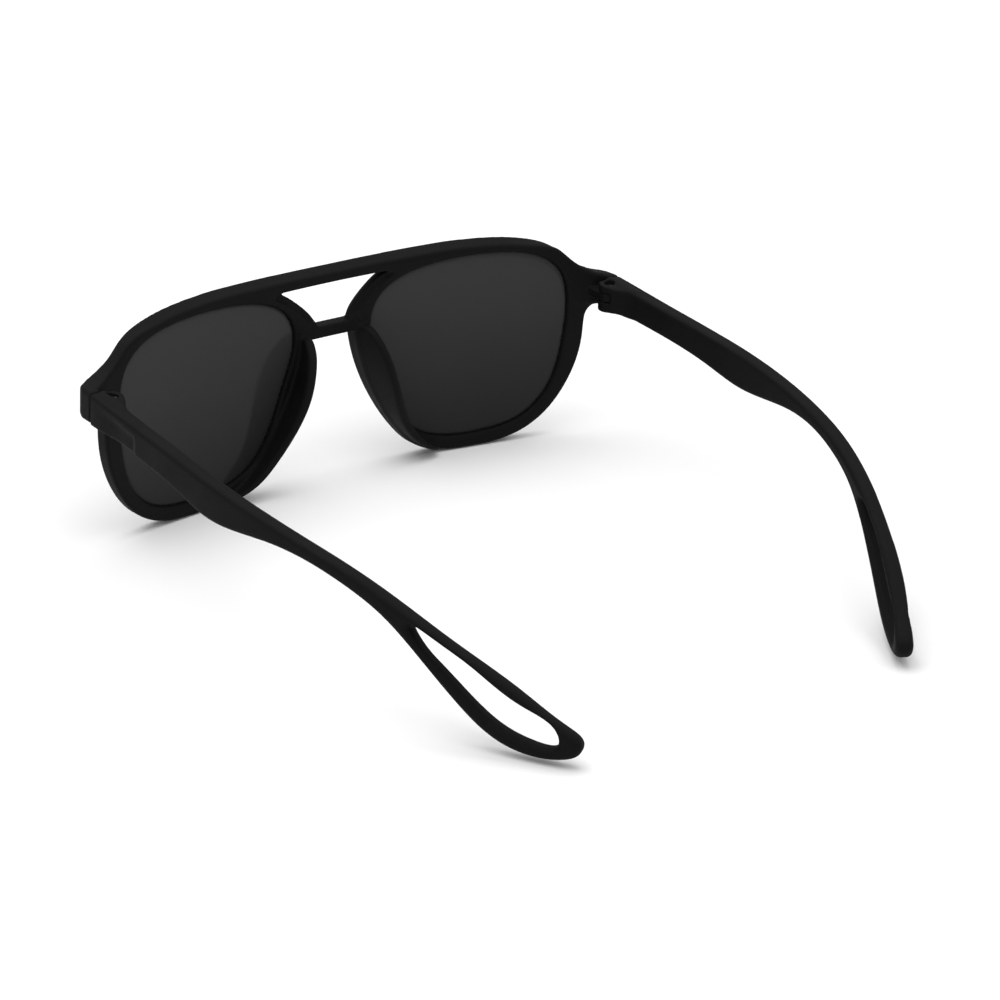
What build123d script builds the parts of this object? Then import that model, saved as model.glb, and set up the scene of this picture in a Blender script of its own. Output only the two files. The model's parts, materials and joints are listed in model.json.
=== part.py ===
from build123d import *
import math
import os

# Aviator sunglasses: one moulded front with a double bridge, two smoke lenses held in its grooves, and
# two temples that fold on screwed three-barrel hinges and end in open ear loops.
# Millimetres. Everything is drawn in the front's own frame: X across (wearer's left is +X), Y back
# towards the ears, Z up from the line through the lens centres. The finished object is then leaned and
# set down on its rims and ear loops.

# Front
WRAP_RADIUS = 272.0        # of the front's rear surface, seen from above
FRONT_THICKNESS = 4.0
PLATE_HALF_WIDTH = 68.5    # the plate proper; the endpieces stand outside it
LENS_THICKNESS = 2.0
LENS_SETBACK = 1.1         # front surface of the frame to front surface of the lens
GROOVE_DEPTH = 1.0         # how far the lens reaches into the rim
LENS_CLEARANCE = 0.05

# Endpieces and hinges (left side; the right side mirrors it)
HINGE_X = 69.3
HINGE_Y = 14.0
BARREL_RADIUS = 2.5
BARREL_BOTTOM = 1.5
BARREL_TOP = 8.1
TONGUE_BOTTOM = 4.0        # the front's knuckle, between the temple's two
TONGUE_TOP = 6.1
KNUCKLE_GAP = 0.05         # between the knuckles' flat faces
KNUCKLE_ROOM = 0.12        # round the front's knuckle
TONGUE_RADIUS = 2.4
ENDPIECE_BOTTOM = 1.7
BUTT_Y = 12.0              # where the endpiece meets the temple
BUTT_GAP = 0.06

# Screw
SCREW_RADIUS = 0.8
SCREW_CLEARANCE = 0.05     # radial, in the knuckle that turns on it
HEAD_RADIUS = 1.15
HEAD_HEIGHT = 0.8
HEAD_SINK = 0.65           # head below the barrel's top
HEAD_ROOM = 0.1
SCREW_END = 2.7            # height of the screw's tip; the bottom knuckle stays closed below it
THREAD_END = 2.4
HEAD_EDGE = 0.25           # rounding round the head's top
DRIVE_LENGTH = 1.4         # cross slot
DRIVE_WIDTH = 0.4
DRIVE_DEPTH = 0.35

# Temple
TEMPLE_THICKNESS = 3.9
TIP_THICKNESS = 4.0
TEMPLE_ROOT = (72.0, 11.0)    # plan view: centre line, straight to the bend, then one arc
TEMPLE_BEND = (73.2, 50.0)
TEMPLE_TIP = (41.3, 148.6)
TIP_TURN = math.radians(37.8)   # how far the arc has turned inwards at the tip
RECESS_DEPTH = 0.6

STAND_TILT = 2.7           # the front's lean towards its face side when the glasses stand open
DEPTH = (-8.0, 18.0)       # Y range that holds the whole front
REACH = 90.0               # longer than any cut needs


def closed_face(lines):
    return make_face(Curve() + lines)


def both_sides(lines):
    """Lines of the left half with their mirror images, closed into a face."""
    return closed_face(lines + [mirrored(line) for line in lines])


def across(face, start, end):
    """A face drawn on the XZ plane, as a solid between two Y positions."""
    return Pos(0, start, 0) * extrude(face, end - start, dir=(0, 1, 0))


def wrap_band(front_offset, rear_offset):
    """The space between two surfaces concentric with the front's rear surface (offsets forward of it)."""
    outer = Cylinder(WRAP_RADIUS + front_offset, REACH)
    inner = Cylinder(WRAP_RADIUS + rear_offset, REACH)
    return Pos(0, WRAP_RADIUS, 0) * (outer - inner)


def on_hinge_axis(radius, bottom, top):
    """A cylinder about the left hinge's axis."""
    return Pos(HINGE_X, HINGE_Y, bottom) * Cylinder(
        radius, top - bottom, align=(Align.CENTER, Align.CENTER, Align.MIN))


def xz(points):
    return [(x, 0, z) for x, z in points]


def mirrored(shape):
    return mirror(shape, Plane.YZ)


def lens_outline(grow=0.0):
    """The left lens opening, grown outwards by the depth that the groove needs."""
    opening = Spline(*xz([(10.7, 6.5), (12.6, 11.0), (17.8, 14.6), (26.0, 16.6), (36.0, 17.3), (47.0, 16.8),
                          (55.5, 14.7), (60.9, 10.3), (62.7, 3.5), (62.0, -7.5), (58.9, -17.7), (52.2, -24.2),
                          (42.0, -26.4), (30.8, -25.8), (22.6, -22.3), (17.3, -15.2), (13.3, -4.8)]),
                     periodic=True)
    if not grow:
        return make_face(opening)
    stations = 20
    places = [i / stations for i in range(stations)]
    sides = [Vector(-(opening % t).Z, 0, (opening % t).X) for t in places]
    return make_face(Spline(*[opening @ t + side * grow for t, side in zip(places, sides)], periodic=True))


def half_outline():
    """The front's outline from the brow's middle round the left rim to the lower bridge's middle."""
    past_end = 77.0            # the endpiece's plan ends the outline before this
    bridge_bottom = 4.1
    brow = Line((0, 0, 20.45), (32, 0, 20.75))
    corner = Spline(*xz([(32, 20.75), (45, 20.05), (54, 18.5), (60.0, 15.9), (64.2, 12.1), (68.0, 9.9),
                         (71.5, 9.0)]))
    end_top = Line(corner @ 1, (past_end, 0, 8.5))
    end_side = Line(end_top @ 1, (past_end, 0, ENDPIECE_BOTTOM))
    rim = Spline(*xz([(70.5, ENDPIECE_BOTTOM), (68.1, 0.6), (67.0, -4.0), (65.6, -12.0), (61.9, -19.5),
                      (56.6, -25.2), (49.7, -28.6), (40.5, -29.7), (31.0, -29.2), (24.4, -27.1),
                      (19.3, -22.6), (14.2, -15.8), (9.6, -7.3), (7.2, -0.5), (6.2, bridge_bottom)]))
    end_bottom = Line(end_side @ 1, rim @ 0)
    under_bridge = Line(rim @ 1, (0, 0, bridge_bottom))
    return [brow, corner, end_top, end_side, end_bottom, rim, under_bridge]


def bridge_aperture():
    """The see-through gap between the brow bar and the lower bridge."""
    top, bottom = 17.0, 7.0
    corner_rounding = 0.5
    side = Spline(*xz([(15.2, top), (12.6, 15.5), (10.3, 13.9), (7.5, 11.6), (5.7, 9.8), (4.6, 8.3),
                       (4.1, bottom)]))
    face = both_sides([Line((0, 0, top), side @ 0), side, Line(side @ 1, (0, 0, bottom))])
    return fillet([v for v in face.vertices() if abs(v.X) > corner_rounding], corner_rounding)


def endpiece():
    """The block outside the left lens that carries the hinge tongue and meets the temple."""
    plan = [(62.0, 2.9), (70.0, 4.6), (72.6, 6.2), (73.6, 8.2), (73.95, BUTT_Y), (71.35, BUTT_Y),
            (70.9, 10.9), (66.0, 8.3), (62.0, 6.9)]
    base = make_face(Polyline(*[(x, y, ENDPIECE_BOTTOM) for x, y in plan], close=True))
    return extrude(base, REACH, dir=(0, 0, 1)) & across(both_sides(half_outline()), *DEPTH)


def hinge_tongue():
    """The front's knuckle on a neck that grows out of the endpiece."""
    neck_x, neck_width = HINGE_X - 0.3, 3.8
    neck_root = 7.6            # inside the endpiece
    height = TONGUE_TOP - TONGUE_BOTTOM
    neck = Pos(neck_x, HINGE_Y, TONGUE_BOTTOM) * Box(
        neck_width, HINGE_Y - neck_root, height, align=(Align.CENTER, Align.MAX, Align.MIN))
    bore = on_hinge_axis(SCREW_RADIUS + SCREW_CLEARANCE, 0, REACH)
    return on_hinge_axis(TONGUE_RADIUS, TONGUE_BOTTOM, TONGUE_TOP) + neck - bore


def nose_pad():
    """The left nose pad: a rounded flange behind the rim that splays outwards and swells at mid height."""
    root_depth = 0.6           # how far the flange starts inside the rim
    wall = 2.3
    # height, middle of the wall at the rim and at the rear edge, reach behind the rim
    stations = [(5.6, 8.0, 8.3, 2.6), (3.0, 8.0, 9.1, 5.3), (-1.0, 8.7, 10.4, 7.2), (-6.0, 10.4, 12.0, 8.0),
                (-12.0, 13.4, 14.3, 7.4), (-18.0, 17.0, 17.3, 6.0), (-22.5, 20.7, 20.7, 5.3),
                (-25.5, 24.0, 24.1, 5.0), (-28.0, 28.0, 28.1, 3.9)]
    sections = []
    for height, rim_x, rear_x, reach in stations:
        rim = Vector(rim_x, wall / 2 - root_depth)
        rear = Vector(rear_x, reach - wall / 2)
        along = rear - rim
        slot = SlotCenterToCenter(along.length, wall, rotation=math.degrees(math.atan2(along.Y, along.X)))
        middle = (rim + rear) / 2
        sections.append(Pos(middle.X, middle.Y, height) * slot)
    return loft(sections)


def half_front():
    """The left half of the front, up to the plane between the lenses."""
    half_space = Box(PLATE_HALF_WIDTH, REACH, REACH, align=(Align.MIN, Align.CENTER, Align.CENTER))
    plate = across(both_sides(half_outline()), *DEPTH) & wrap_band(FRONT_THICKNESS, 0)
    plate = (plate & half_space) - across(bridge_aperture(), *DEPTH) - across(lens_outline(), *DEPTH)
    plate = plate + endpiece() + hinge_tongue() + nose_pad()
    return plate - (across(lens_outline(GROOVE_DEPTH + LENS_CLEARANCE), *DEPTH) & wrap_band(
        FRONT_THICKNESS - LENS_SETBACK + LENS_CLEARANCE,
        FRONT_THICKNESS - LENS_SETBACK - LENS_THICKNESS - LENS_CLEARANCE))


def front_frame():
    half = half_front()
    return half + mirrored(half)


def lens():
    """The left lens: a sheet on the front's wrap, its edge in the rim's groove."""
    return across(lens_outline(GROOVE_DEPTH), *DEPTH) & wrap_band(
        FRONT_THICKNESS - LENS_SETBACK, FRONT_THICKNESS - LENS_SETBACK - LENS_THICKNESS)


def temple_plan(inner=-1.0, outer=1.0):
    """The temple seen from above, between two lines given in half thicknesses from its centre line."""
    root, bend, tip = Vector(*TEMPLE_ROOT), Vector(*TEMPLE_BEND), Vector(*TEMPLE_TIP)
    along = bend - root
    side = along.normalized().rotate(Axis.Z, -90)
    tip_side = Vector(math.cos(TIP_TURN), math.sin(TIP_TURN))

    def edge(place):
        root_shift = side * place * TEMPLE_THICKNESS / 2
        tip_shift = tip_side * place * TIP_THICKNESS / 2
        return [Line(root + root_shift, bend + root_shift),
                TangentArc(bend + root_shift, tip + tip_shift, tangent=along)]

    near, far = edge(inner), edge(outer)
    ends = [Line(near[0] @ 0, far[0] @ 0), Line(near[1] @ 1, far[1] @ 1)]
    return extrude(closed_face(near + far + ends), REACH / 2, both=True)


def yz(points):
    return [(0, y, z) for y, z in points]


def temple_side_view():
    """The left temple seen from the side, with its open ear loop."""
    top = Spline(*yz([(BUTT_Y + BUTT_GAP, 8.55), (26, 6.95), (40, 5.4), (70, 1.3), (90, -2.5), (104.6, -6.8),
                      (119.4, -13.9), (132.8, -21.4), (142.0, -28.0)]))
    tip = Spline(*yz([(142.0, -28.0), (144.9, -31.0), (144.3, -33.3), (141.6, -34.8), (137.6, -35.2)]))
    bottom = Spline(*yz([(137.6, -35.2), (130.0, -33.2), (122.2, -27.2), (113.7, -18.9), (105.0, -11.7),
                         (97.0, -7.8), (88.0, -5.2), (77.0, -4.2), (66.0, -4.9), (57.0, -4.9), (46.0, -2.6),
                         (34.0, -0.6), (22.0, 0.8)]))
    under_barrel = Line(bottom @ 1, (0, BUTT_Y + BUTT_GAP, BARREL_BOTTOM))
    butt = Line(under_barrel @ 1, top @ 0)
    face = closed_face([top, tip, bottom, under_barrel, butt])
    loop = Spline(*yz([(111.5, -12.5), (116.5, -14.1), (124.8, -18.6), (134.2, -24.7), (140.6, -29.6),
                       (140.6, -32.0), (136.4, -32.3), (127.0, -27.7), (118.4, -20.3), (112.7, -14.8)]),
                  periodic=True)
    return face - make_face(loop)


def temple_recess():
    """A shallow step sunk into the temple's outer face behind the hinge, open at the lower edge."""
    corners = yz([(18.0, 6.3), (29.8, 4.6), (29.8, -5.0), (18.0, -5.0)])
    panel = extrude(make_face(Polyline(*corners, close=True)), REACH, dir=(1, 0, 0))
    return panel & temple_plan(inner=1 - RECESS_DEPTH / (TEMPLE_THICKNESS / 2), outer=3)


def hinge_barrel():
    """The temple's knuckles, still in one piece, and the gusset that joins them to its inner face."""
    inside_blade = 71.8        # X of a line within the temple's wall
    gusset_end = 20.5
    plan = [(HINGE_X - BARREL_RADIUS, HINGE_Y), (HINGE_X - 1.2, HINGE_Y + 3.4), (70.6, gusset_end),
            (inside_blade, gusset_end), (inside_blade, BUTT_Y + 0.3), (HINGE_X, HINGE_Y)]
    gusset = make_face(Polyline(*[(x, y, BARREL_BOTTOM) for x, y in plan], close=True))
    barrel = on_hinge_axis(BARREL_RADIUS, BARREL_BOTTOM, BARREL_TOP)
    return barrel + extrude(gusset, BARREL_TOP - BARREL_BOTTOM, dir=(0, 0, 1))


def temple():
    """The left temple, with the room that the front's tongue and the screw need."""
    blade = extrude(temple_side_view(), REACH, dir=(1, 0, 0)) & temple_plan()
    room_bottom, room_top = TONGUE_BOTTOM - KNUCKLE_GAP, TONGUE_TOP + KNUCKLE_GAP
    tongue_room = on_hinge_axis(TONGUE_RADIUS + KNUCKLE_ROOM, room_bottom, room_top)
    behind_axis = 2.3          # the folded temple carries this much of the neck's sweep
    swing_room = Pos(HINGE_X, HINGE_Y + behind_axis, room_bottom) * Box(
        REACH, REACH, room_top - room_bottom, align=(Align.MAX, Align.MAX, Align.MIN))
    neck_half_width = 2.0
    neck_room = Pos(HINGE_X, HINGE_Y, room_bottom) * Box(
        neck_half_width, REACH, room_top - room_bottom, align=(Align.MIN, Align.MAX, Align.MIN))
    thread = on_hinge_axis(SCREW_RADIUS, THREAD_END, REACH)
    head_room = on_hinge_axis(HEAD_RADIUS + HEAD_ROOM, BARREL_TOP - HEAD_SINK - HEAD_HEIGHT, REACH)
    body = blade + hinge_barrel()
    for cut in (tongue_room, swing_room, neck_room, thread, head_room, temple_recess()):
        body -= cut
    return body


def hinge_screw():
    """The left hinge screw, put in from above."""
    head_top = BARREL_TOP - HEAD_SINK
    head_bottom = head_top - HEAD_HEIGHT
    head = on_hinge_axis(HEAD_RADIUS, head_bottom, head_top)
    head = fillet(head.edges().sort_by(Axis.Z)[-1], HEAD_EDGE)
    screw = on_hinge_axis(SCREW_RADIUS, SCREW_END, head_bottom) + head
    slot = Box(DRIVE_LENGTH, DRIVE_WIDTH, DRIVE_DEPTH, align=(Align.CENTER, Align.CENTER, Align.MAX))
    for turn in (0, 90):
        screw -= Pos(HINGE_X, HINGE_Y, head_top) * Rot(0, 0, turn) * slot
    return screw


def main():
    left = {"lens_left": lens(), "temple_left": temple(), "hinge_screw_left": hinge_screw()}
    parts = {"front_frame": front_frame()}
    for name, shape in left.items():
        parts[name] = shape
        parts[name.replace("left", "right")] = mirrored(shape)

    lean = Rot(STAND_TILT, 0, 0)
    boxes = [(lean * shape).bounding_box() for shape in parts.values()]
    front = min(box.min.Y for box in boxes)
    rear = max(box.max.Y for box in boxes)
    stand = Pos(0, -(front + rear) / 2, -min(box.min.Z for box in boxes)) * lean
    os.makedirs("parts", exist_ok=True)
    for name, shape in parts.items():
        placed = stand * shape
        placed.label = name
        export_step(placed, f"parts/{name}.step")
    hinge = stand * Pos(HINGE_X, HINGE_Y, (TONGUE_BOTTOM + TONGUE_TOP) / 2)
    print("hinge axis point", [round(v, 3) for v in hinge.position])
    print("hinge axis direction", [round(v, 5) for v in (stand * Pos(0, 0, 1)).position - stand.position])


if __name__ == "__main__":
    main()
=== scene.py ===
import bpy
import json
import math
import numpy as np
from mathutils import Matrix, Vector


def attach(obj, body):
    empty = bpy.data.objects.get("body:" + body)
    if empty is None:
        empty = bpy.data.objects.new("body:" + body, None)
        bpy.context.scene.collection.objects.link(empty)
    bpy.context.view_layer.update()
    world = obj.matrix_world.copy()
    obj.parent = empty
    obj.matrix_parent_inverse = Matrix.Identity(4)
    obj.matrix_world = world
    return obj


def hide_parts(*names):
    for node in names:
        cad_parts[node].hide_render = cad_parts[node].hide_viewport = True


# Black aviator sunglasses with smoke lenses. The front, the temples and the lenses are modelled as
# distance fields in the front's own drawing frame, in millimetres (X to the wearer's left, Y back, Z up
# from the line through the lens centres), meshed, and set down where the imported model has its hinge.
# The right temple and lens are the left ones mirrored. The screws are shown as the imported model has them.

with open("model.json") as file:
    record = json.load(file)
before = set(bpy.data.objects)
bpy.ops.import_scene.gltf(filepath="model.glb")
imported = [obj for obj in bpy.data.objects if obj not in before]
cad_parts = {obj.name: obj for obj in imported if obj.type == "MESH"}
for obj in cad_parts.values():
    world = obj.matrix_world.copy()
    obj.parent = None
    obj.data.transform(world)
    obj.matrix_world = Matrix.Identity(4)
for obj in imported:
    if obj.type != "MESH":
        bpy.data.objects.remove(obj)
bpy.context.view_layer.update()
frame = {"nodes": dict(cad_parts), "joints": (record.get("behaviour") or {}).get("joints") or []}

# ---------------------------------------------------------------- driving dimensions, in millimetres

WRAP_RADIUS = 272.0
FRONT_THICKNESS = 4.0
LENS_MIDDLE = 1.9          # middle of the lens, forward of the front's rear surface
LENS_THICKNESS = 2.0
LENS_HOLD = 0.2            # how far the lens edge is sunk in the rim
PLATE_HALF_WIDTH = 68.5
ENDPIECE_BOTTOM = 1.7
HINGE = (69.3, 14.0)
KNUCKLE_BOTTOM, KNUCKLE_TOP = 4.0, 6.1
KNUCKLE_RADIUS = 2.47      # of the front's knuckle
KNUCKLE_ROOM_RADIUS = 2.52
KNUCKLE_GROWTH = 0.02      # makes the visible seams a little thinner than the CAD model's
KNUCKLE_GAP = 0.05
BORE_RADIUS = 0.85
BARREL_RADIUS = 2.5
BARREL_BOTTOM, BARREL_TOP = 1.5, 8.1
THREAD_RADIUS = 0.8
THREAD_END = 2.4
HEAD_BOTTOM = 6.6
HEAD_ROOM_RADIUS = 1.22
BUTT_Y = 12.03             # where the temple meets the endpiece
TEMPLE_ROOT = np.array([72.0, 11.0])
TEMPLE_BEND = np.array([73.2, 50.0])
TEMPLE_TIP = np.array([41.3, 148.6])
ROOT_HALF_THICKNESS, TIP_HALF_THICKNESS = 1.95, 2.0


# ---------------------------------------------------------------- outlines

def spline(points, closed=False, per_span=6):
    """Points along a smooth curve through the given ones, with even slope and curvature."""
    points = np.array(points, float)
    if closed:
        points = np.vstack([points, points[:1]])
    spans = np.diff(points, axis=0)
    steps = np.linalg.norm(spans, axis=1)
    count = len(points)
    system, pull = np.zeros((count, count)), np.zeros((count, 2))
    for i in range(1, count - 1):
        before, after = steps[i - 1], steps[i]
        system[i, i - 1:i + 2] = 1 / before, 2 / before + 2 / after, 1 / after
        pull[i] = 3 * (spans[i - 1] / before ** 2 + spans[i] / after ** 2)
    if closed:
        system[0, [0, 1, -2]] = 2 / steps[-1] + 2 / steps[0], 1 / steps[0], 1 / steps[-1]
        pull[0] = 3 * (spans[-1] / steps[-1] ** 2 + spans[0] / steps[0] ** 2)
        system[-1, [0, -1]] = 1, -1
    else:
        system[0, :2], pull[0] = (2, 1), 3 * spans[0] / steps[0]
        system[-1, -2:], pull[-1] = (1, 2), 3 * spans[-1] / steps[-1]
    slopes = np.linalg.solve(system, pull)
    t = (np.arange(per_span) / per_span)[:, None]
    curve = [points[i] * (1 + 2 * t) * (1 - t) ** 2 + points[i + 1] * t * t * (3 - 2 * t)
             + steps[i] * (slopes[i] * t * (1 - t) ** 2 + slopes[i + 1] * t * t * (t - 1))
             for i in range(count - 1)]
    return np.vstack(curve) if closed else np.vstack(curve + [points[-1:]])


def both_sides(half):
    """A half outline that starts and ends on the middle line, closed by its mirror image."""
    return np.vstack([half, half[-2:0:-1] * (-1, 1)])


def front_outline():
    """The whole front, seen from ahead, from the brow's middle round to the lower bridge's."""
    past_end = 77.0            # the endpiece's plan ends it before this
    bridge_bottom = 4.1
    brow_middle = [(0, 20.45)]
    corner = spline([(32, 20.75), (45, 20.05), (54, 18.5), (60.0, 15.9), (64.2, 12.1), (68.0, 9.9),
                     (71.5, 9.0)])
    end = [(past_end, 8.5), (past_end, ENDPIECE_BOTTOM)]
    rim = spline([(70.5, ENDPIECE_BOTTOM), (68.1, 0.6), (67.0, -4.0), (65.6, -12.0), (61.9, -19.5),
                  (56.6, -25.2), (49.7, -28.6), (40.5, -29.7), (31.0, -29.2), (24.4, -27.1),
                  (19.3, -22.6), (14.2, -15.8), (9.6, -7.3), (7.2, -0.5), (6.2, bridge_bottom)])
    return both_sides(np.vstack([brow_middle, corner, end, rim, [(0, bridge_bottom)]]))


def lens_outline():
    """The left lens opening, seen from ahead."""
    return spline([(10.7, 6.5), (12.6, 11.0), (17.8, 14.6), (26.0, 16.6), (36.0, 17.3), (47.0, 16.8),
                   (55.5, 14.7), (60.9, 10.3), (62.7, 3.5), (62.0, -7.5), (58.9, -17.7), (52.2, -24.2),
                   (42.0, -26.4), (30.8, -25.8), (22.6, -22.3), (17.3, -15.2), (13.3, -4.8)], closed=True)


def bridge_aperture():
    """The gap between the brow bar and the lower bridge, where its walls are narrowest."""
    top, bottom = 17.0, 7.0
    side = spline([(15.2, top), (12.6, 15.5), (10.3, 13.9), (7.5, 11.6), (5.7, 9.8), (4.6, 8.3),
                   (4.1, bottom)])
    return both_sides(np.vstack([[(0, top)], side, [(0, bottom)]]))


def temple_side():
    """The temple's outline from the side, without its ear loop: Y along the centre line, and Z."""
    edge = spline([(BUTT_Y, 8.55), (26, 6.95), (40, 5.4), (70, 1.3), (90, -2.5), (104.6, -6.8),
                   (119.4, -13.9), (132.8, -21.4), (142.0, -28.0), (144.9, -31.0), (144.3, -33.3),
                   (141.6, -34.8), (137.6, -35.2), (130.0, -33.2), (122.2, -27.2), (113.7, -18.9),
                   (105.0, -11.7), (97.0, -7.8), (88.0, -5.2), (77.0, -4.2), (66.0, -4.9), (57.0, -4.9),
                   (46.0, -2.6), (34.0, -0.6), (22.0, 0.8)])
    return along_curve(np.vstack([edge, [(BUTT_Y, BARREL_BOTTOM)]]))


def ear_loop():
    """The ear loop's opening, in the same view."""
    return along_curve(spline([(111.5, -12.5), (116.5, -14.1), (124.8, -18.6), (134.2, -24.7), (140.6, -29.6),
                               (140.6, -32.0), (136.4, -32.3), (127.0, -27.7), (118.4, -20.3),
                               (112.7, -14.8)], closed=True))


# ---------------------------------------------------------------- distance fields, negative inside

def signed_distance(outline, across, up):
    """Distance of points in a plane from a closed outline."""
    across, up = np.broadcast_arrays(across, up)
    nearest, inside = np.full(across.shape, np.inf), np.zeros(across.shape, bool)
    for (a, b), (c, d) in zip(outline, np.roll(outline, -1, axis=0)):
        run, rise = c - a, d - b
        length = run * run + rise * rise
        if length == 0:
            continue
        t = np.clip(((across - a) * run + (up - b) * rise) / length, 0, 1)
        nearest = np.minimum(nearest, (across - a - t * run) ** 2 + (up - b - t * rise) ** 2)
        if rise:
            inside ^= ((b > up) != (d > up)) & (across < a + (up - b) * run / rise)
    return np.where(inside, -1, 1) * np.sqrt(nearest)


def sampled_distance(outline, length, z):
    """signed_distance over a plane of fine steps, looked up at points that don't lie on grid lines."""
    step, margin = 0.1, 6
    low = outline.min(axis=0) - margin
    count = ((outline.max(axis=0) + margin - low) / step).astype(int) + 2
    last = count - 1.001       # just short of the table's edge
    table = signed_distance(outline, (low[0] + step * np.arange(count[0]))[:, None],
                            (low[1] + step * np.arange(count[1]))[None, :])
    a = np.clip((length - low[0]) / step, 0, last[0])
    b = np.clip((z - low[1]) / step, 0, last[1])
    i, j = a.astype(int), b.astype(int)
    a, b = a - i, b - j
    return ((table[i, j] * (1 - a) + table[i + 1, j] * a) * (1 - b)
            + (table[i, j + 1] * (1 - a) + table[i + 1, j + 1] * a) * b)


def meet(a, b, radius):
    """What two solids share, its new edges rounded."""
    corner = np.hypot(np.maximum(a + radius, 0), np.maximum(b + radius, 0))
    return np.minimum(np.maximum(a, b), -radius) + corner


def join(a, b, reach):
    """Two solids as one, with a soft fillet between them."""
    near = np.maximum(reach - np.abs(a - b), 0) / reach
    return np.minimum(a, b) - near * near * reach / 4


def ramp(value, start, end):
    """Rises smoothly from 0 at the start to 1 at the end."""
    t = np.clip((value - start) / (end - start), 0, 1)
    return t * t * (3 - 2 * t)


def slab(value, low, high):
    """The layer between two values."""
    return np.abs(value - (low + high) / 2) - (high - low) / 2


def disc(x, y, radius):
    """A cylinder about the hinge's axis."""
    return np.hypot(x - HINGE[0], y - HINGE[1]) - radius


def forward(x, y):
    """How far a point is forward of the front's rear surface."""
    return np.hypot(x, WRAP_RADIUS - y) - WRAP_RADIUS


def smooth_between(value, stations, results):
    """A smooth curve through the results at the stations, read at any value."""
    curve = spline(list(zip(stations, results)))
    return np.interp(value, curve[:, 0], curve[:, 1])


def nose_pad(x, y, z):
    """A rounded flange behind the rim: a wall between two lines that swing out from the rim."""
    height = [-28.3, -27.0, -25.5, -22.5, -18.0, -12.0, -6.0, -1.0, 3.0, 5.6]
    rim_x = smooth_between(z, height, [28.6, 26.3, 24.0, 20.7, 17.0, 13.4, 10.4, 8.7, 8.0, 8.0])
    rear_x = smooth_between(z, height, [28.6, 26.4, 24.1, 20.7, 17.3, 14.3, 12.0, 10.4, 9.1, 8.3])
    reach = smooth_between(z, height, [3.6, 4.5, 5.0, 5.3, 6.0, 7.4, 8.0, 7.2, 5.3, 2.6])
    half_wall = 1.15
    root_depth = 0.6           # how far the flange starts inside the rim
    end_rounding = 0.8
    start_y, end_y = half_wall - root_depth, reach - half_wall
    run, rise = rear_x - rim_x, end_y - start_y
    t = np.clip(((x - rim_x) * run + (y - start_y) * rise) / (run * run + rise * rise), 0, 1)
    wall = np.hypot(x - rim_x - t * run, y - start_y - t * rise) - half_wall
    return meet(wall, slab(z, height[0], height[-1]), end_rounding)


def hinge_tongue(x, y, z):
    """The front's knuckle on a neck that grows out of the endpiece, bored for the screw."""
    neck_inner, neck_outer, neck_root = 67.1, 70.9, 7.6
    edge_rounding = 0.05
    neck = np.maximum(slab(x, neck_inner, neck_outer), slab(y, neck_root, HINGE[1]))
    plan = np.minimum(disc(x, y, KNUCKLE_RADIUS), neck)
    layer = slab(z, KNUCKLE_BOTTOM - KNUCKLE_GROWTH, KNUCKLE_TOP + KNUCKLE_GROWTH)
    return np.maximum(meet(plan, layer, edge_rounding), -disc(x, y, BORE_RADIUS))


def front_plate(x, z, depth, outline):
    """The plate of rims, brow bar and lower bridge. The brow's top slopes down to the rear."""
    rear_setback, most_setback = 1.3, 1.4
    setback = rear_setback * ramp(z, 9, 16) * (1 - ramp(x, 50, 62)) * (1 - depth / FRONT_THICKNESS)
    edge_rounding = 0.7
    edge = outline + np.clip(setback, 0, most_setback)
    plate = meet(edge, slab(depth, 0, FRONT_THICKNESS), edge_rounding)
    return np.maximum(plate, x - PLATE_HALF_WIDTH)


def endpiece(x, y, z, outline):
    """The block outside the lens that carries the hinge tongue and meets the temple."""
    plan = [(60.0, 4.5), (66.0, 3.8), (70.0, 4.6), (72.6, 6.2), (73.6, 8.2), (73.95, 12.0),
            (71.35, 12.0), (70.9, 10.9), (66.0, 8.3), (60.0, 5.5)]
    edge_rounding = 0.9
    block = signed_distance(np.array(plan), x, y)
    return meet(block, np.maximum(outline, ENDPIECE_BOTTOM - z), edge_rounding)


def cut_bridge_gap(body, x, z, depth):
    """Cuts the gap between brow bar and lower bridge, with leaning walls and a shallow step behind."""
    waist = np.clip(1.7 + 0.13 * (z - 8), 1.7, 2.6)    # the depth forward of which the gap widens
    wall_lean = 0.9
    wall_rounding = 0.25 + 0.5 * ramp(9.0 - z, 0, 1.5)
    gap = sampled_distance(bridge_aperture(), x - wall_lean * np.maximum(depth - waist, 0), z)
    body = meet(body, -gap, wall_rounding)
    step_width, step_lean, step_rounding = 1.9, 0.4, 0.2
    step_depth = 0.9 * ramp(z, 7.4, 8.8) * ramp(16.8 - z, 0, 1.2)
    step = np.maximum(gap - step_width + step_lean * depth, depth - step_depth)
    return meet(body, -step, step_rounding)


def front_field(x, y, z):
    """The moulded front, both halves."""
    x = np.abs(x)
    depth = forward(x, y)
    outline = signed_distance(front_outline(), x, z)
    endpiece_fillet, pad_fillet, tongue_fillet, opening_rounding = 0.8, 1.2, 0.5, 0.45
    body = join(front_plate(x, z, depth, outline), endpiece(x, y, z, outline), endpiece_fillet)
    body = cut_bridge_gap(body, x, z, depth)
    body = join(body, nose_pad(x, y, z), pad_fillet)
    body = join(body, hinge_tongue(x, y, z), tongue_fillet)
    return meet(body, -signed_distance(lens_outline(), x, z), opening_rounding)


def lens_field(x, y, z):
    """The left lens: a sheet on the front's wrap, its edge a little inside the rim."""
    edge = signed_distance(lens_outline(), x, z) - LENS_HOLD
    edge_rounding = 0.2
    return meet(edge, np.abs(forward(x, y) - LENS_MIDDLE) - LENS_THICKNESS / 2, edge_rounding)


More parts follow.
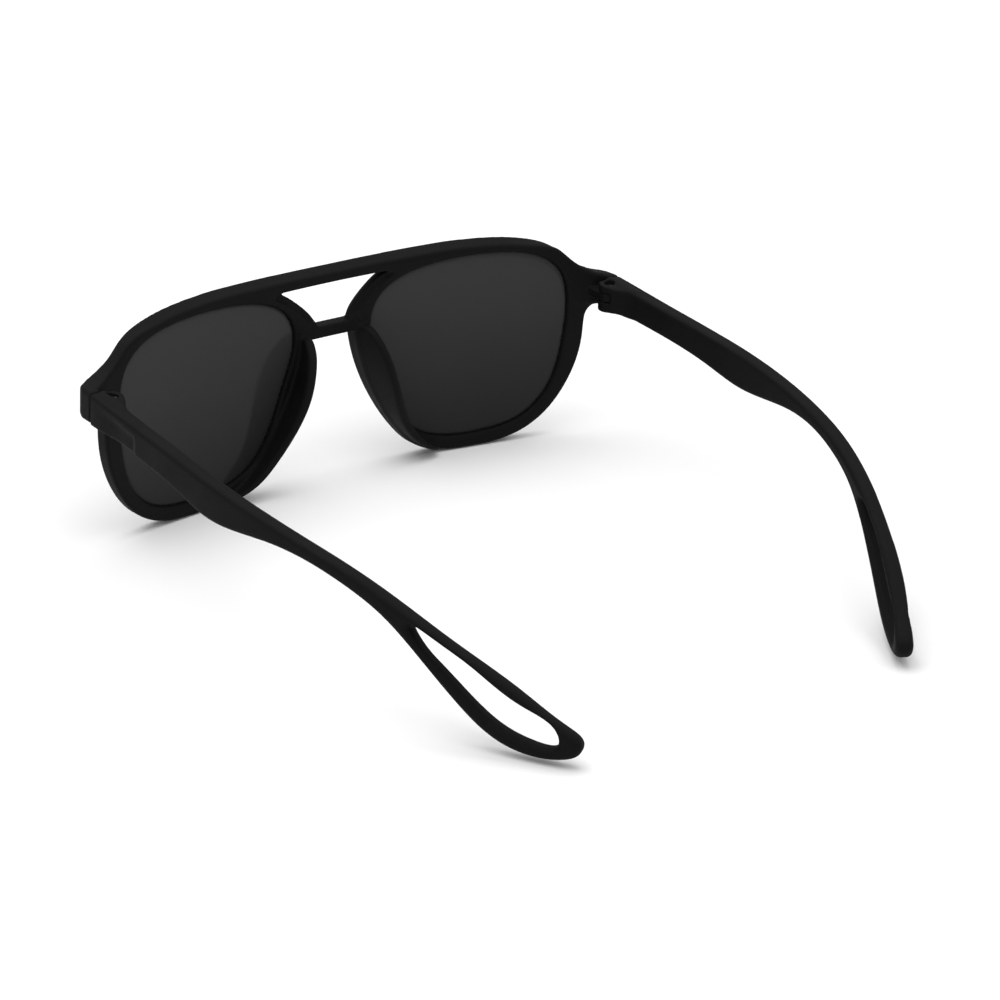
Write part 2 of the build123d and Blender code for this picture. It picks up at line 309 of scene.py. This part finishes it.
def temple_line():
    """The direction outwards from the straight part, and the centre and radius of the arc that follows."""
    along = TEMPLE_BEND - TEMPLE_ROOT
    side = np.array([along[1], -along[0]]) / np.linalg.norm(along)
    chord = TEMPLE_TIP - TEMPLE_BEND
    radius = -(chord @ chord) / (2 * chord @ side)
    return side, TEMPLE_BEND - side * radius, radius


def temple_middle(y):
    """X of the temple's centre line."""
    _, centre, radius = temple_line()
    lean = (TEMPLE_BEND - TEMPLE_ROOT)[0] / (TEMPLE_BEND - TEMPLE_ROOT)[1]
    arc = centre[0] + np.sqrt(np.maximum(radius ** 2 - (y - centre[1]) ** 2, 0))
    return np.where(y < TEMPLE_BEND[1], TEMPLE_ROOT[0] + (y - TEMPLE_ROOT[1]) * lean, arc)


def along_curve(outline):
    """An outline drawn over the centre line's Y, stretched to lengths along the centre line."""
    side, centre, radius = temple_line()
    y = outline[:, 0]
    turned = np.arcsin(np.clip((y - centre[1]) / radius, -1, 1)) - math.asin(side[1])
    length = np.where(y < TEMPLE_BEND[1], y, TEMPLE_BEND[1] + radius * turned)
    return np.stack([length, outline[:, 1]], axis=1)


def temple_place(x, y):
    """Length along the temple's centre line and distance outwards from it, seen from above."""
    side, centre, radius = temple_line()
    out = (x - TEMPLE_ROOT[0]) * side[0] + (y - TEMPLE_ROOT[1]) * side[1]
    turned = np.arctan2(y - centre[1], x - centre[0]) - math.asin(side[1])
    straight = turned < 0
    length = np.where(straight, y - out * side[1], TEMPLE_BEND[1] + radius * turned)
    return length, np.where(straight, out, np.hypot(x - centre[0], y - centre[1]) - radius)


def temple_recess(length, z):
    """Depth of the scoop in the outer face behind the hinge: it deepens to its rear wall, open below."""
    deepest = 0.65
    rear_wall = 30.4
    top = 7.0 - 0.15 * (length - 15.0)
    return deepest * ramp(length, 13.5, 24.0) * ramp(top - z, -0.3, 1.7) * ramp(rear_wall - length, 0, 2.0)


def temple_blade(x, y, z):
    """The temple without its hinge: edges that get rounder towards the ear loop."""
    length, offset = temple_place(x, y)
    half = ROOT_HALF_THICKNESS + (TIP_HALF_THICKNESS - ROOT_HALF_THICKNESS) * ramp(y, 100, 146)
    side = sampled_distance(temple_side(), length, z)
    hole = sampled_distance(ear_loop(), length, z)
    rounding = 0.6 + 0.4 * ramp(y, 14, 34) + 0.5 * ramp(y, 90, 108)
    faces = np.maximum(-offset, offset + temple_recess(length, z)) - half
    return meet(np.maximum(side, -hole), faces, rounding)


def hinge_barrel(x, y, z):
    """The temple's knuckles, still in one piece, and the gusset that joins them to its inner face."""
    top_slope, barrel_rounding, gusset_rounding = 0.11, 0.35, 0.7
    column = np.maximum(z - BARREL_TOP + top_slope * (y - HINGE[1]), BARREL_BOTTOM - z)
    barrel = meet(disc(x, y, BARREL_RADIUS), column, barrel_rounding)
    gusset_plan = [(66.8, 14.0), (67.6, 16.4), (69.0, 18.6), (70.6, 20.6), (71.8, 21.5), (71.8, 12.3),
                   (69.3, 14.0)]
    gusset = meet(signed_distance(np.array(gusset_plan), x, y), column, gusset_rounding)
    return np.minimum(barrel, gusset)


def tongue_room(x, y, z):
    """What the front's tongue and its neck sweep while the temple folds."""
    behind_axis, neck_half_width = 2.3, 2
    swing = np.maximum(x - HINGE[0], y - HINGE[1] - behind_axis)
    neck = np.maximum(slab(x, HINGE[0], HINGE[0] + neck_half_width), y - HINGE[1])
    plan = np.minimum(np.minimum(disc(x, y, KNUCKLE_ROOM_RADIUS), swing), neck)
    return np.maximum(plan, slab(z, KNUCKLE_BOTTOM - KNUCKLE_GAP, KNUCKLE_TOP + KNUCKLE_GAP))


def temple_field(x, y, z):
    """The left temple, with room for the front's tongue and for the screw."""
    barrel_fillet, slot_rounding, screw_hole_rounding = 1.6, 0.03, 0.12
    body = join(temple_blade(x, y, z), hinge_barrel(x, y, z), barrel_fillet)
    body = meet(body, -tongue_room(x, y, z), slot_rounding)
    body = np.maximum(body, -np.maximum(disc(x, y, THREAD_RADIUS), THREAD_END - z))
    head_room = np.maximum(disc(x, y, HEAD_ROOM_RADIUS), HEAD_BOTTOM - z)
    return np.maximum(meet(body, -head_room, screw_hole_rounding), BUTT_Y - y)


# ---------------------------------------------------------------- from fields to meshes

def surface(field):
    """Vertices, in grid steps, and four-sided faces on a field's zero level."""
    shape = np.array(field.shape) - 1
    total, hits, quads = np.zeros((int(np.prod(shape)), 3)), np.zeros(int(np.prod(shape))), []
    for axis in range(3):
        first = field[tuple(slice(0, -1) if a == axis else slice(None) for a in range(3))]
        second = field[tuple(slice(1, None) if a == axis else slice(None) for a in range(3))]
        crossing = (first < 0) != (second < 0)
        corner = np.argwhere(crossing)
        start, end = first[crossing], second[crossing]
        point = corner.astype(float)
        point[:, axis] += start / (start - end)
        one, two = (axis + 1) % 3, (axis + 2) % 3
        ring = []
        for back_one, back_two in ((1, 1), (0, 1), (0, 0), (1, 0)):
            cell = corner.copy()
            cell[:, one] -= back_one
            cell[:, two] -= back_two
            cell = np.clip(cell, 0, shape - 1)
            ring.append(np.ravel_multi_index(cell.T, shape))
        for cells in ring:
            hits += np.bincount(cells, minlength=len(hits))
            for a in range(3):
                total[:, a] += np.bincount(cells, weights=point[:, a], minlength=len(hits))
        ring = np.stack(ring, axis=1)
        quads.append(np.where((start < 0)[:, None], ring, ring[:, ::-1]))
    used = hits > 0
    number = np.cumsum(used) - 1
    return total[used] / hits[used][:, None], number[np.vstack(quads)]


def relaxed(points, quads):
    """Evens out the small steps that the grid leaves."""
    rounds = 3
    ends = np.vstack([quads[:, [i, (i + 1) % 4]] for i in range(4)])
    count = np.bincount(ends[:, 0], minlength=len(points))
    for _ in range(rounds):
        mean = np.stack([np.bincount(ends[:, 0], weights=points[ends[:, 1], a], minlength=len(points))
                         for a in range(3)], axis=1) / count[:, None]
        points = (points + mean) / 2
    return points


def mesh_field(field, low, high, step, shear):
    """Meshes a field over a box of grid lines; shear gives the drawing frame's x and y of grid points."""
    a, b, c = (np.arange(start, end + step, step) for start, end in zip(low, high))
    x, y = shear(a[:, None, None], b[None, :, None])
    values = field(x, y, c[None, None, :])
    points, quads = surface(values)
    points = np.array(low) + relaxed(points, quads) * step
    x, y = shear(points[:, 0], points[:, 1])
    return np.stack([x, y, points[:, 2]], axis=1), quads


def wrapped(x, depth):
    """A grid that follows the front's wrap."""
    return x, depth + WRAP_RADIUS - np.sqrt(WRAP_RADIUS ** 2 - x ** 2)


def along_temple(offset, y):
    """A grid that follows the temple's centre line."""
    return temple_middle(y) + offset, y


def stand(points):
    """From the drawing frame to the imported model's: leaned as its left hinge leans, and set on it."""
    metres = 0.001
    joint = frame["joints"][0]
    lean = math.atan2(-joint["axis"][1], joint["axis"][2])
    turn = np.array(Matrix.Rotation(lean, 3, "X"))
    pivot = np.array([HINGE[0], HINGE[1], (KNUCKLE_BOTTOM + KNUCKLE_TOP) / 2])
    return (points - pivot) @ turn.T * metres + np.array(joint["pos_m"])


def make_piece(name, mesh_data, body, slot, node, flip=False):
    """A visible piece that moves with a body and takes a node's place; flip mirrors it to the right."""
    points, quads = mesh_data
    placed = stand(points)
    if flip:
        placed, quads = placed * (-1, 1, 1), quads[:, ::-1]
    mesh = bpy.data.meshes.new(name)
    mesh.from_pydata(placed.tolist(), [], quads.tolist())
    mesh.validate()
    mesh.shade_smooth()
    piece = bpy.data.objects.new(name, mesh)
    bpy.context.scene.collection.objects.link(piece)
    mesh.materials.append(looks[slot])
    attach(piece, body)
    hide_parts(node)


# ---------------------------------------------------------------- camera, light and floor

def make_camera():
    """Behind the wearer's left shoulder, looking down at the open glasses."""
    data = bpy.data.cameras.new("camera")
    data.lens = 165.2
    data.sensor_width = 36.0
    data.clip_start, data.clip_end = 0.01, 20.0
    cam = bpy.data.objects.new("camera", data)
    bpy.context.scene.collection.objects.link(cam)
    azimuth, elevation, roll = math.radians(140.01), math.radians(23.45), math.radians(4.05)
    aim = Vector((-0.0049, -0.0142, 0.0140))
    distance = 1.007
    back = Vector((math.sin(azimuth) * math.cos(elevation), -math.cos(azimuth) * math.cos(elevation),
                   math.sin(elevation)))
    turn = (-back).to_track_quat("-Z", "Y").to_matrix().to_4x4() @ Matrix.Rotation(roll, 4, "Z")
    cam.matrix_world = Matrix.Translation(aim + back * distance) @ turn
    bpy.context.scene.camera = cam


def make_softbox():
    """One large light overhead, aimed at the object's base."""
    data = bpy.data.lights.new("softbox_top", "AREA")
    data.shape = "RECTANGLE"
    data.size, data.size_y = 1.3, 1.3
    data.energy = 9.0
    light = bpy.data.objects.new("softbox_top", data)
    bpy.context.scene.collection.objects.link(light)
    place = Vector((0.25, -0.15, 1.2))
    light.matrix_world = Matrix.Translation(place) @ (-place).to_track_quat("-Z", "Y").to_matrix().to_4x4()


def make_world():
    """A white surround, brighter above than below."""
    from_below, from_above = 0.35, 1.25
    world = bpy.data.worlds.new("studio")
    world.use_nodes = True
    nodes, links = world.node_tree.nodes, world.node_tree.links
    split = nodes.new("ShaderNodeSeparateXYZ")
    links.new(nodes.new("ShaderNodeTexCoord").outputs["Generated"], split.inputs["Vector"])
    links.new(spread(nodes, links, split.outputs["Z"], (0.0, 1.0), (from_below, from_above)),
              nodes["Background"].inputs["Strength"])
    nodes["Background"].inputs["Color"].default_value = (1.0, 1.0, 1.0, 1.0)
    bpy.context.scene.world = world


def make_floor():
    """A plain pale floor, larger than any view."""
    mesh = bpy.data.meshes.new("floor")
    half = 4.0
    corners = [(-half, -half, 0), (half, -half, 0), (half, half, 0), (-half, half, 0)]
    mesh.from_pydata(corners, [], [(0, 1, 2, 3)])
    floor = bpy.data.objects.new("floor", mesh)
    bpy.context.scene.collection.objects.link(floor)
    material = bpy.data.materials.new("floor")
    material.use_nodes = True
    shader = material.node_tree.nodes["Principled BSDF"]
    shader.inputs["Base Color"].default_value = (0.825, 0.825, 0.825, 1)
    shader.inputs["Roughness"].default_value = 0.9
    shader.inputs["Specular IOR Level"].default_value = 0.0
    mesh.materials.append(material)


# ---------------------------------------------------------------- materials

def start_material(name):
    """A new material with what its nodes need: tree, links, shader and the piece's own coordinates."""
    material = bpy.data.materials.new(name)
    material.use_nodes = True
    nodes, links = material.node_tree.nodes, material.node_tree.links
    place = nodes.new("ShaderNodeTexCoord").outputs["Object"]
    return material, nodes, links, nodes["Principled BSDF"], place


def noise(nodes, links, place, scale, detail, stretch=(1.0, 1.0, 1.0)):
    """A noise value over the piece; scale is in cells per metre."""
    mapping = nodes.new("ShaderNodeMapping")
    mapping.inputs["Scale"].default_value = stretch
    links.new(place, mapping.inputs["Vector"])
    texture = nodes.new("ShaderNodeTexNoise")
    texture.inputs["Scale"].default_value = scale
    texture.inputs["Detail"].default_value = detail
    links.new(mapping.outputs["Vector"], texture.inputs["Vector"])
    return texture.outputs["Fac"]


def spread(nodes, links, value, source, target):
    """Maps a value from one range to another."""
    node = nodes.new("ShaderNodeMapRange")
    node.interpolation_type = "SMOOTHSTEP"
    node.inputs["From Min"].default_value, node.inputs["From Max"].default_value = source
    node.inputs["To Min"].default_value, node.inputs["To Max"].default_value = target
    links.new(value, node.inputs["Value"])
    return node.outputs["Result"]


def add(nodes, links, one, two):
    """The sum of two values."""
    node = nodes.new("ShaderNodeMath")
    node.operation = "ADD"
    links.new(one, node.inputs[0])
    links.new(two, node.inputs[1])
    return node.outputs["Value"]


def colours(nodes, links, value, dark, light):
    """A colour between two, by a value from 0 to 1."""
    node = nodes.new("ShaderNodeMix")
    node.data_type = "RGBA"
    node.inputs["A"].default_value, node.inputs["B"].default_value = dark, light
    links.new(value, node.inputs["Factor"])
    return node.outputs["Result"]


def grain(nodes, links, height, strength, distance, shader):
    """Gives the shader a bump from a height value; distance is in metres."""
    node = nodes.new("ShaderNodeBump")
    node.inputs["Strength"].default_value = strength
    node.inputs["Distance"].default_value = distance
    links.new(height, node.inputs["Height"])
    links.new(node.outputs["Normal"], shader.inputs["Normal"])


def black_plastic():
    """Satin black moulded plastic: fine grain, faintly cloudy, its edges a little paler from handling."""
    material, nodes, links, shader, place = start_material("frame_black")
    dark, light = (0.0026, 0.0026, 0.0028, 1), (0.0046, 0.0046, 0.0048, 1)
    fine = noise(nodes, links, place, scale=2600, detail=3)
    clouds = noise(nodes, links, place, scale=90, detail=4)
    pointiness = nodes.new("ShaderNodeNewGeometry").outputs["Pointiness"]
    edges = spread(nodes, links, pointiness, (0.51, 0.60), (0.0, 0.5))
    tint = add(nodes, links, spread(nodes, links, clouds, (0.3, 0.7), (0.0, 0.5)), edges)
    links.new(colours(nodes, links, tint, dark, light), shader.inputs["Base Color"])
    cloudy_roughness = spread(nodes, links, clouds, (0.25, 0.75), (0.64, 0.74))
    fine_roughness = spread(nodes, links, fine, (0.3, 0.7), (-0.03, 0.05))
    links.new(add(nodes, links, cloudy_roughness, fine_roughness), shader.inputs["Roughness"])
    shader.inputs["Specular IOR Level"].default_value = 0.10
    grain(nodes, links, fine, strength=0.35, distance=0.00006, shader=shader)
    return material


def smoke_lens():
    """Smoke grey lens with a painted reflection that makes it a little lighter towards its top, and a hard
    coat that is nearly flawless.
    """
    material, nodes, links, shader, place = start_material("lens_smoke")
    # Painted reflection: the smoke tint lightens from bottom to top, standing in for the bright surround
    # above that the lens reflects.
    dark, light = (0.0160, 0.0160, 0.0165, 1), (0.0370, 0.0370, 0.0375, 1)
    bottom, top = 0.002, 0.050
    split = nodes.new("ShaderNodeSeparateXYZ")
    links.new(place, split.inputs["Vector"])
    height = spread(nodes, links, split.outputs["Z"], (bottom, top), (0.0, 0.94))
    cloud = noise(nodes, links, place, scale=35, detail=3)
    patches = spread(nodes, links, cloud, (0.3, 0.7), (0.0, 0.06))
    links.new(colours(nodes, links, add(nodes, links, height, patches), dark, light),
              shader.inputs["Base Color"])
    smears = noise(nodes, links, place, scale=160, detail=5, stretch=(1.0, 1.0, 0.35))
    links.new(spread(nodes, links, smears, (0.35, 0.8), (0.10, 0.17)), shader.inputs["Roughness"])
    shader.inputs["Specular IOR Level"].default_value = 0.075
    ripple = noise(nodes, links, place, scale=900, detail=2)
    grain(nodes, links, ripple, strength=0.03, distance=0.00002, shader=shader)
    return material


def steel():
    """Turned steel, a little dull: streaks for its turning marks, and darker stains."""
    material, nodes, links, shader, place = start_material("screw_steel")
    dark, light = (0.30, 0.30, 0.31, 1), (0.52, 0.52, 0.53, 1)
    streaks = noise(nodes, links, place, scale=1500, detail=2, stretch=(1.0, 1.0, 8.0))
    cloud = noise(nodes, links, place, scale=700, detail=3)
    stain = spread(nodes, links, cloud, (0.3, 0.7), (0.0, 1.0))
    links.new(colours(nodes, links, stain, dark, light), shader.inputs["Base Color"])
    shader.inputs["Metallic"].default_value = 1.0
    links.new(spread(nodes, links, streaks, (0.3, 0.7), (0.18, 0.38)), shader.inputs["Roughness"])
    grain(nodes, links, streaks, strength=0.2, distance=0.00003, shader=shader)
    return material


# ---------------------------------------------------------------- the scene

bpy.context.scene.view_settings.view_transform = "Standard"
make_camera()
make_softbox()
make_world()
make_floor()
looks = {"frame_black": black_plastic(), "lens_smoke": smoke_lens(), "screw_steel": steel()}
for side in ("left", "right"):
    screw = frame["nodes"]["hinge_screw_" + side]
    screw.data.materials.clear()
    screw.data.materials.append(looks["screw_steel"])

front = mesh_field(front_field, low=(-76, -5.0, -31.5), high=(76, 9.9, 22.5), step=0.3, shear=wrapped)
lens = mesh_field(lens_field, low=(8, -4.5, -29), high=(65, 0.6, 20), step=0.4, shear=wrapped)
temple = mesh_field(temple_field, low=(-6.5, 11, -37.5), high=(3.6, 148.5, 10), step=0.25,
                    shear=along_temple)
make_piece("moulded_front", front, "front", "frame_black", "front_frame")
for side in ("left", "right"):
    flip = side == "right"
    make_piece(side + "_lens", lens, "front", "lens_smoke", "lens_" + side, flip)
    make_piece(side + "_temple", temple, "arm_" + side, "frame_black", "temple_" + side, flip)
